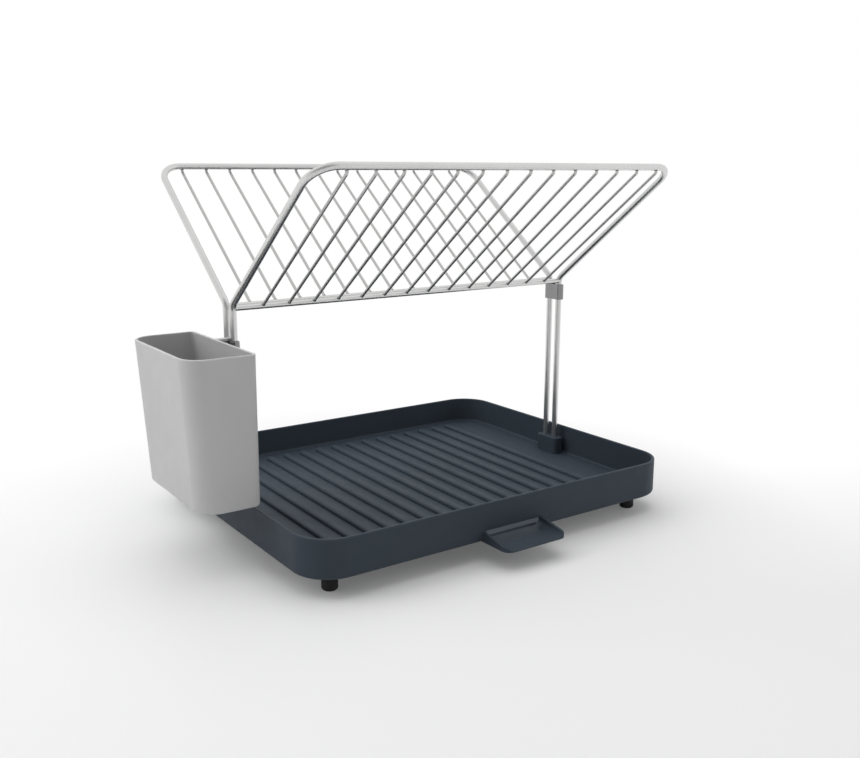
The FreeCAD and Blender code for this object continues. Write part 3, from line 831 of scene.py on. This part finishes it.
class RACK_OT_frames(bpy.types.Operator):
    """Bend the front and back frame rods and set the bottom rails between them"""
    bl_idname = "dish_rack.frames"
    bl_label = "Frames and Bottom Rails"

    def execute(self, context):
        rack = settings("rack")
        steel = drawn_steel("rod_steel", rack.colour, 0.33)
        radii = [rack.fork_bend, rack.corner_bend, rack.corner_bend, rack.fork_bend]
        inset = Vector((rack.rail_inset, 0, 0))
        for name, side in (("front", -1), ("back", 1)):
            at = panel(side)
            rail = at["rail"]
            half = [
                Vector((at["left"], at["post"], at["foot"])),
                Vector((at["left"], at["post"], rack.fork_height)),
                Vector((at["left"], rail.y, rail.z)),
            ]
            across = Vector((at["right"] - at["left"], 0, 0))
            corners = half + [corner + across for corner in reversed(half)]
            piece = rod_piece(name + "_rod", corners, radii, rack.rod)
            finish_piece(piece, "rack", "steel_rod", steel, name + "_frame")
            start, end = at["bottom"].copy(), at["bottom"].copy()
            start.x, end.x = at["left"], at["right"]
            ends = [start + inset, end - inset]
            piece = rod_piece(name + "_bottom_bar", ends, [], at["bottom_rod"])
            finish_piece(piece, "rack", "steel_rod", steel, name + "_bottom_rail")
        return {"FINISHED"}


class RACK_OT_wires(bpy.types.Operator):
    """Lay the row of wires on each panel and spot-weld their ends"""
    bl_idname = "dish_rack.wires"
    bl_label = "Wires and Welds"

    def execute(self, context):
        rack = settings("rack")
        steel = drawn_steel("wire_steel", rack.wire_colour, 0.36)
        welds = weld_metal("weld_metal")
        for name, side in (("front", -1), ("back", 1)):
            at = panel(side)
            line = (at["rail"] - at["bottom"]).normalized()
            outward = Vector((0, side * line.z, -abs(line.y)))
            knee = at["rail"] + outward * rack.standoff - line * rack.setback
            run = (knee - at["bottom"]).normalized()
            turn_in = (at["rail"] - knee).normalized()
            start = at["bottom"] + run * (at["bottom_rod"] / 2 - WELD_DEPTH)
            end = at["rail"] - turn_in * (rack.rod / 2 - WELD_DEPTH)
            beads = bmesh.new()
            nodes = sorted(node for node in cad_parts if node.startswith(name + "_wire_"))
            for node in nodes:
                low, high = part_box(node)
                shift = Vector(((low.x + high.x) / 2 - MIDDLE_X, 0, 0))
                corners = [start + shift, knee + shift, end + shift]
                piece = rod_piece(node + "_rod", corners, [rack.wire_bend], rack.wire, 20, 6)
                finish_piece(piece, "rack", "steel_wire", steel, node)
                for spot, heading in ((start, run), (end, turn_in)):
                    self.bead(beads, spot + shift, heading, rack.wire)
            bunch = object_from(beads, name + "_spot_welds")
            finish_piece(bunch, "rack", "steel_wire", welds)
        return {"FINISHED"}

    def bead(self, bm, spot, heading, wire):
        """Flattened ring of metal squeezed out round a wire's end."""
        squeezed_out = 0.62
        flatness = 0.45
        turned = Z_AXIS.rotation_difference(heading).to_matrix().to_4x4()
        flat = Matrix.Diagonal((1.0, 1.0, flatness, 1.0))
        bmesh.ops.create_uvsphere(
            bm, u_segments=12, v_segments=6, radius=wire * squeezed_out,
            matrix=Matrix.Translation(spot) @ turned @ flat,
        )


class RACK_OT_sleeves(bpy.types.Operator):
    """Fold the two steel bands that slide on the posts"""
    bl_idname = "dish_rack.sleeves"
    bl_label = "Sleeves"

    def execute(self, context):
        sleeve = settings("sleeve")
        for node in ("right_sleeve", "left_sleeve"):
            low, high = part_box(node)
            steel = polished_steel(node + "_steel", sleeve.colour, high.z)
            size = high - low
            middle = (low + high) / 2
            bm = bmesh.new()
            verts = block(bm, size, middle)
            round_off(bm, [e for e in edges_of(verts) if upright(e)], sleeve.corner, 8)
            caps = [f for f in bm.faces if abs(f.normal.z) > FACING]
            open_shell(bm, caps, sleeve.wall)
            piece = object_from(bm, node + "_band")
            soften(piece, sleeve.edge_round, 2, 40)
            even_out(piece, 50, weight=50)
            finish_piece(piece, node, "sleeve", steel, node)
        return {"FINISHED"}


class RACK_OT_pot(bpy.types.Operator):
    """Mould the cutlery pot with its drain slots and hook"""
    bl_idname = "dish_rack.pot"
    bl_label = "Cutlery Pot"

    def execute(self, context):
        pot = settings("pot")
        self.inner_x = POT_LOW.x + pot.width
        size = Vector((pot.width, POT_HIGH.y - POT_LOW.y, POT_HIGH.z - POT_LOW.z))
        middle = POT_LOW + size / 2
        bm = bmesh.new()
        verts = block(bm, size, middle)
        lower = [vert for vert in verts if vert.co.z < middle.z]
        taper = (1 - pot.taper_out / size.x, 1 - 2 * pot.taper_end / size.y, 1)
        anchor = Matrix.Translation((-self.inner_x, -middle.y, 0))
        bmesh.ops.scale(bm, vec=taper, verts=lower, space=anchor)
        for radius, side in ((pot.outer_corner, -1), (pot.inner_corner, 1)):
            corners = [
                e for e in bm.edges if upright(e) and e.calc_length() > size.z / 2
                and side * (e.verts[0].co.x - middle.x) > 0.3 * size.x
            ]
            round_off(bm, corners, radius, 14)
        round_off(bm, [e for e in bm.edges if level_at(e, POT_LOW.z)], pot.foot_round, 4)
        open_shell(bm, [f for f in bm.faces if f.normal.z > FACING], pot.wall)
        shell = object_from(bm, "pot_shell")
        carve(shell, self.slots(pot, middle))
        soften(shell, pot.edge_round, 3, 40)
        piece = merge("pot_moulding", [shell, self.hook(pot)])
        even_out(piece, 50)
        plastic = moulded_plastic(
            "pot_plastic", pot.colour, POT_HIGH.z, shine=0.46, grain=0.14, gloss=0.5,
        )
        finish_piece(piece, "cutlery_pot", "pot", plastic, "cutlery_pot")
        return {"FINISHED"}

    def slots(self, pot, middle):
        """Cutters for the row of slots through the pot's floor."""
        bm = bmesh.new()
        reach = 20 * MM
        corner = 1.7 * MM
        size = Vector((pot.slot_length, pot.slot_width, reach))
        x = middle.x + pot.taper_out / 2
        for index in range(pot.slot_count):
            y = middle.y + (index - (pot.slot_count - 1) / 2) * pot.slot_pitch
            rounded_block(bm, size, Vector((x, y, POT_LOW.z)), corner, 5, 0, 0)
        return object_from(bm, "slots")

    def hook(self, pot):
        """Bridge over the sleeve's edge, tongue inside the sleeve and a web below the bridge."""
        bm = bmesh.new()
        low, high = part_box("left_sleeve")
        y = (low.y + high.y) / 2
        rim = POT_HIGH.z
        wall = self.inner_x - pot.wall / 2
        end = POT_HIGH.x
        tongue = low.x + settings("sleeve").wall + RUNNING_GAP
        face = low.x - RUNNING_GAP
        corner = 0.5 * MM
        # Each block: from x to x, its width, its top below the rim, its height, and its rounds.
        blocks = (
            (wall, end, pot.hook_width, 0.0, pot.bridge, corner, corner, 0.0),
            (tongue, end, pot.hook_width, 0.1 * MM, pot.tongue, 0.6 * MM, 0.0, 0.8 * MM),
            (wall, face, pot.web_width, 1.0 * MM, pot.web_height, corner, 0.0, 0.0),
        )
        for start, stop, width, drop, height, upright_round, top_round, bottom_round in blocks:
            size = Vector((stop - start, width, height))
            middle = Vector(((start + stop) / 2, y, rim - drop - height / 2))
            rounded_block(bm, size, middle, upright_round, 3, top_round, bottom_round)
        # The web's lower end runs into the wall, so that its free edge slopes.
        lower, free = rim - 20 * MM, wall + 3 * MM
        for vert in bm.verts:
            if vert.co.z < lower and vert.co.x > free:
                vert.co.x = self.inner_x
        return object_from(bm, "hook")


class RACK_OT_studio(bpy.types.Operator):
    """Set the counter, the lights and the camera"""
    bl_idname = "dish_rack.studio"
    bl_label = "Studio"

    def execute(self, context):
        scene = context.scene
        scene.view_settings.view_transform = "Standard"
        self.camera(scene)
        self.counter()
        for name, power, where, target, size in SOFTBOXES:
            watts = getattr(settings("studio"), power)
            self.softbox(name, Vector(where), Vector(target), size, watts)
        self.world(scene)
        return {"FINISHED"}

    def camera(self, scene):
        """View from the front left, level with the top rails and looking a little down."""
        image_width = 860
        focal_pixels = 956.1
        lens = bpy.data.cameras.new("photo_camera")
        lens.sensor_fit = "HORIZONTAL"
        lens.sensor_width = 36.0
        lens.lens = focal_pixels * lens.sensor_width / image_width
        lens.clip_end = 50.0
        eye = add_object("photo_camera", lens)
        eye.location = Vector((MIDDLE_X, MIDDLE_Y, 0)) + EYE
        pitch = math.radians(12.363)
        yaw = math.radians(34.960)
        roll = math.radians(0.104)
        look = Matrix.Rotation(-yaw, 4, "Z") @ Matrix.Rotation(math.pi / 2 - pitch, 4, "X")
        eye.rotation_euler = (look @ Matrix.Rotation(roll, 4, "Z")).to_euler()
        scene.camera = eye

    def counter(self):
        """Pale counter that fades to white with distance, so that no horizon shows."""
        studio = settings("studio")
        half_side = 12.0
        bm = bmesh.new()
        bmesh.ops.create_grid(bm, x_segments=1, y_segments=1, size=half_side)
        floor = object_from(bm, "counter")
        look = Shader("counter_white", studio.floor, metallic=0.0, roughness=0.6)
        rough = look.spread(look.noise(scale=3.0, detail=2.0), 0.55, 0.65)
        floor.data.materials.append(look.wear(roughness=rough))
        ahead = look.measure("DOT_PRODUCT", AHEAD)
        distance = look.measure("LENGTH")
        behind = look.spread(ahead, 0.0, 1.0, start=-0.2, end=0.16)
        outside = look.spread(distance, 0.0, 1.0, start=0.26, end=0.44)
        far = look.spread(distance, 0.0, 1.0, start=0.85, end=1.9)
        fade = look.blend("MAXIMUM", look.blend("MULTIPLY", behind, outside), far)
        lifted = look.spread(fade, studio.lift, 1.0, start=0.0, end=1.0)
        # Only the camera and shiny surfaces see the white; the rest sees the plain counter.
        path = look.node("ShaderNodeLightPath")
        seen = look.blend("MAXIMUM", path.outputs["Is Camera Ray"], path.outputs["Is Glossy Ray"])
        share = look.blend("MULTIPLY", lifted, seen)
        glow = look.node("ShaderNodeEmission", Color=WHITE, Strength=1.0)
        plain = look.surface.outputs["BSDF"]
        whole = mix_shaders(look.tree, share, plain, glow.outputs["Emission"])
        look.link(whole, look.tree.nodes["Material Output"].inputs["Surface"])

    def softbox(self, name, where, target, size, watts):
        """Square lamp that polished surfaces don't mirror."""
        lamp = bpy.data.lights.new(name, "AREA")
        lamp.shape = "SQUARE"
        lamp.size = size
        lamp.energy = watts
        stand = add_object(name, lamp)
        stand.visible_glossy = False
        stand.location = where
        stand.rotation_euler = (target - where).to_track_quat("-Z", "Y").to_euler()

    def world(self, scene):
        """White for the camera, dimmer for the rest; steel also sees the room's darker end."""
        world = bpy.data.worlds.new("studio_world")
        world.use_nodes = True
        tree = world.node_tree
        room = tree.nodes["Background"]
        room.inputs["Color"].default_value = WHITE
        room.inputs["Strength"].default_value = settings("studio").room
        white = add_node(tree, "ShaderNodeBackground", Color=WHITE)
        shiny = add_node(tree, "ShaderNodeBackground", Color=WHITE)
        towards = tree.nodes.new("ShaderNodeVectorMath")
        towards.operation = "DOT_PRODUCT"
        towards.inputs[1].default_value = DARK_END
        direction = tree.nodes.new("ShaderNodeTexCoord").outputs["Generated"]
        tree.links.new(direction, towards.inputs[0])
        dim = add_node(
            tree, "ShaderNodeMapRange", From_Min=0.3, From_Max=0.95, To_Min=1.0, To_Max=0.35,
        )
        tree.links.new(towards.outputs["Value"], dim.inputs["Value"])
        tree.links.new(dim.outputs["Result"], shiny.inputs["Strength"])
        path = tree.nodes.new("ShaderNodeLightPath")
        room, white, shiny = [made.outputs["Background"] for made in (room, white, shiny)]
        plain = mix_shaders(tree, path.outputs["Is Camera Ray"], room, white)
        whole = mix_shaders(tree, path.outputs["Is Glossy Ray"], plain, shiny)
        tree.links.new(whole, tree.nodes["World Output"].inputs["Surface"])
        scene.world = world


class RACK_PT_panel(bpy.types.Panel):
    """Sidebar panel with the sizes and one button for each group of pieces"""
    bl_idname = "RACK_PT_panel"
    bl_label = "Dish Rack"
    bl_space_type = "VIEW_3D"
    bl_region_type = "UI"
    bl_category = "Dish Rack"

    def draw(self, context):
        layout = self.layout
        for operator, group in STEPS:
            box = layout.box()
            if group is not None:
                values = settings(group)
                for name in values.bl_rna.properties.keys():
                    if name not in ("name", "rna_type"):
                        box.prop(values, name)
            box.operator(operator.bl_idname)


STEPS = [
    (RACK_OT_tray, "tray"),
    (RACK_OT_feet, "feet"),
    (RACK_OT_frames, "rack"),
    (RACK_OT_wires, None),
    (RACK_OT_sleeves, "sleeve"),
    (RACK_OT_pot, "pot"),
    (RACK_OT_studio, "studio"),
]
GROUPS = {
    "tray": TraySettings,
    "feet": FootSettings,
    "rack": RackSettings,
    "sleeve": SleeveSettings,
    "pot": PotSettings,
    "studio": StudioSettings,
}


def register():
    for group in GROUPS.values():
        bpy.utils.register_class(group)
    for operator, _ in STEPS:
        bpy.utils.register_class(operator)
    bpy.utils.register_class(RACK_PT_panel)
    for name, group in GROUPS.items():
        setattr(bpy.types.Scene, "dish_rack_" + name, PointerProperty(type=group))


def unregister():
    for name in GROUPS:
        delattr(bpy.types.Scene, "dish_rack_" + name)
    bpy.utils.unregister_class(RACK_PT_panel)
    for operator, _ in reversed(STEPS):
        bpy.utils.unregister_class(operator)
    for group in reversed(GROUPS.values()):
        bpy.utils.unregister_class(group)


def main():
    register()
    bpy.ops.dish_rack.tray()
    bpy.ops.dish_rack.feet()
    bpy.ops.dish_rack.frames()
    bpy.ops.dish_rack.wires()
    bpy.ops.dish_rack.sleeves()
    bpy.ops.dish_rack.pot()
    bpy.ops.dish_rack.studio()


if __name__ == "__main__":
    main()
